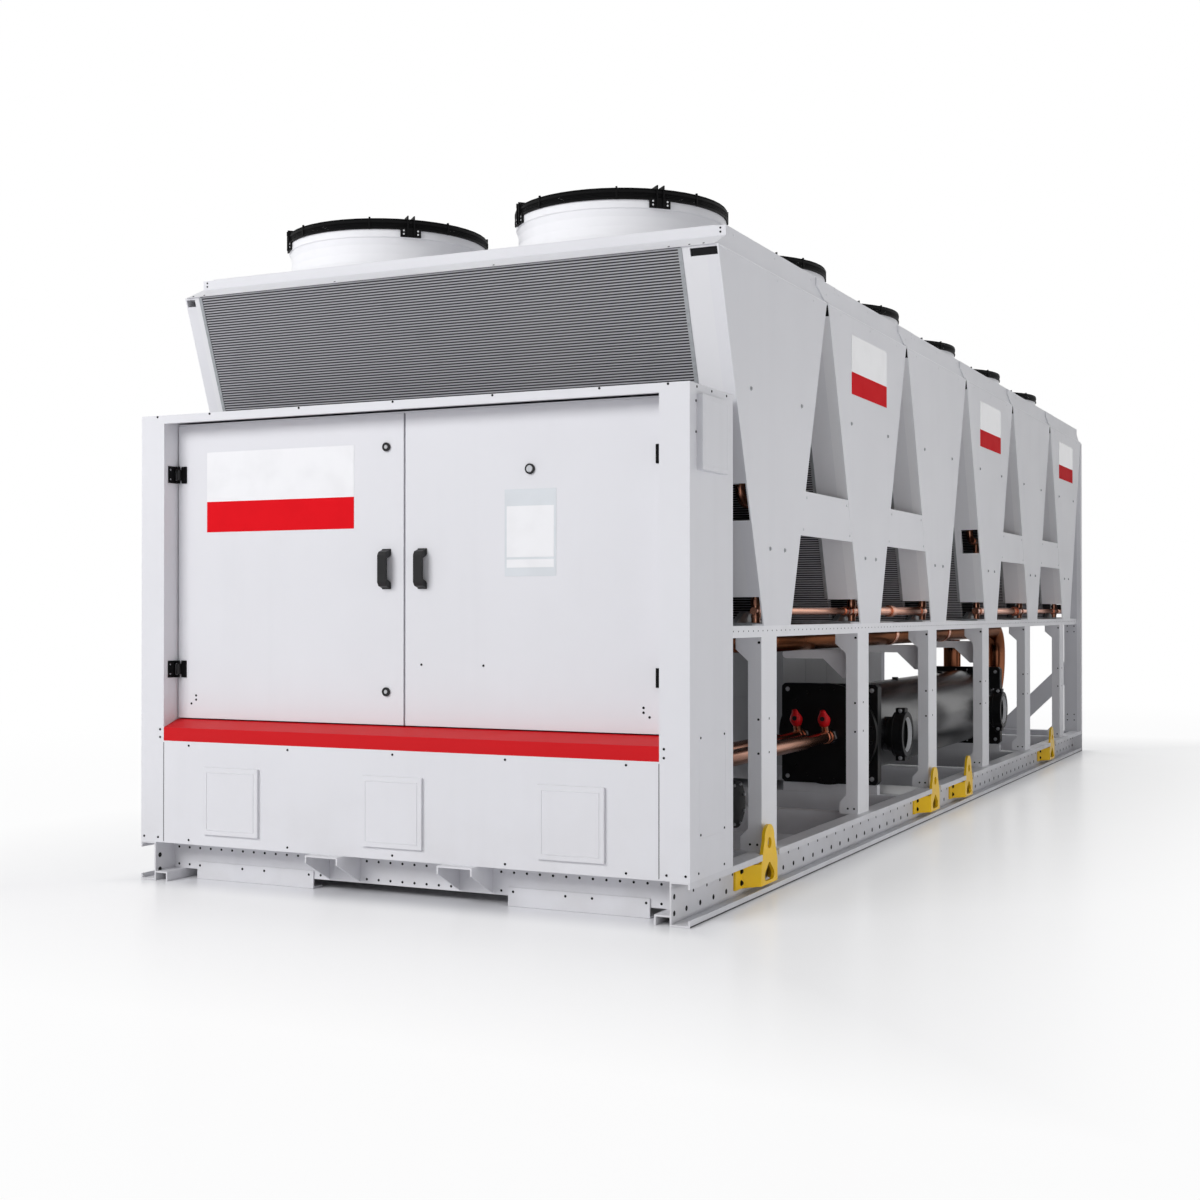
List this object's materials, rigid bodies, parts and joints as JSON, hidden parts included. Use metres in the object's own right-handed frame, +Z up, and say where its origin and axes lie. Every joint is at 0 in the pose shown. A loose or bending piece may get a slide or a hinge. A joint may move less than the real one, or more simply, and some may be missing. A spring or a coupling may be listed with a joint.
{
  "type": "air cooled water chiller",
  "caption": "Air cooled water chiller: V-shaped condenser coils under axial fans on a channel base, with an evaporator below and a control cabinet with hinged doors",
  "frame": {"origin": "middle of the footprint, on the floor under the base rails", "axes": "+X to the right seen from the front, +Y to the back along the machine, +Z up; the cabinet doors face -Y"},
  "size_m": [2.26, 7.536, 2.53],
  "materials": {
    "cabinet_paint": "pale grey powder coat",
    "frame_paint": "pale grey powder coat on heavy sheet",
    "red_paint": "red gloss paint",
    "yellow_paint": "yellow paint",
    "black_paint": "black satin paint",
    "black_plastic": "black moulded plastic",
    "coil_fins": "aluminium tubes and fins in fine horizontal lines",
    "copper": "plain copper pipe",
    "zinc": "galvanised sheet"
  },
  "bodies": {
    "chassis": {"base_rails": "frame_paint", "base_cross_beams": "frame_paint", "front_foot_plates": "frame_paint", "front_brackets": "frame_paint", "lifting_lugs": "yellow_paint", "cabinet_floor": "cabinet_paint", "cabinet_columns": "cabinet_paint", "cabinet_roof": "cabinet_paint", "cabinet_back": "cabinet_paint", "mounting_plate": "zinc", "lower_panel": "cabinet_paint", "sill_band": "red_paint", "hinge_brackets": "black_plastic", "posts_left": "frame_paint", "posts_right": "frame_paint", "upper_beams": "frame_paint", "pipe_arms": "frame_paint", "rear_frame": "frame_paint", "rear_panel": "cabinet_paint", "v_panels_left": "cabinet_paint", "v_panels_right": "cabinet_paint", "bridge_plates": "cabinet_paint", "coil_trays": "zinc", "coils_front": "coil_fins", "coils_rear": "coil_fins", "coil_covers": "cabinet_paint", "fan_decks": "cabinet_paint", "deck_joint_covers": "cabinet_paint", "fan_shrouds": "cabinet_paint", "fan_guards": "black_paint", "fan_rotors": "zinc", "evaporator_shell": "black_paint", "evaporator_plates": "black_paint", "water_couplings": "black_paint", "vessel_feet": "frame_paint", "suction_pipes": "copper", "liquid_lines": "copper", "valve_caps": "red_paint", "coil_manifolds": "copper", "compressor_enclosures": "zinc", "liquid_receiver": "black_paint"},
    "left_leaf": {"left_door": "cabinet_paint", "left_door_fittings": "black_plastic"},
    "right_leaf": {"right_door": "cabinet_paint", "right_door_fittings": "black_plastic"}
  },
  "joints": [
    {"name": "left_door_hinge", "type": "hinge", "parent": "chassis", "child": "left_leaf", "pos_m": [-1.008, -3.662, 1.169], "axis": [0, 0, -1], "range_deg": [0, 105]},
    {"name": "right_door_hinge", "type": "hinge", "parent": "chassis", "child": "right_leaf", "pos_m": [1.008, -3.662, 1.169], "axis": [0, 0, 1], "range_deg": [0, 105]}
  ]
}
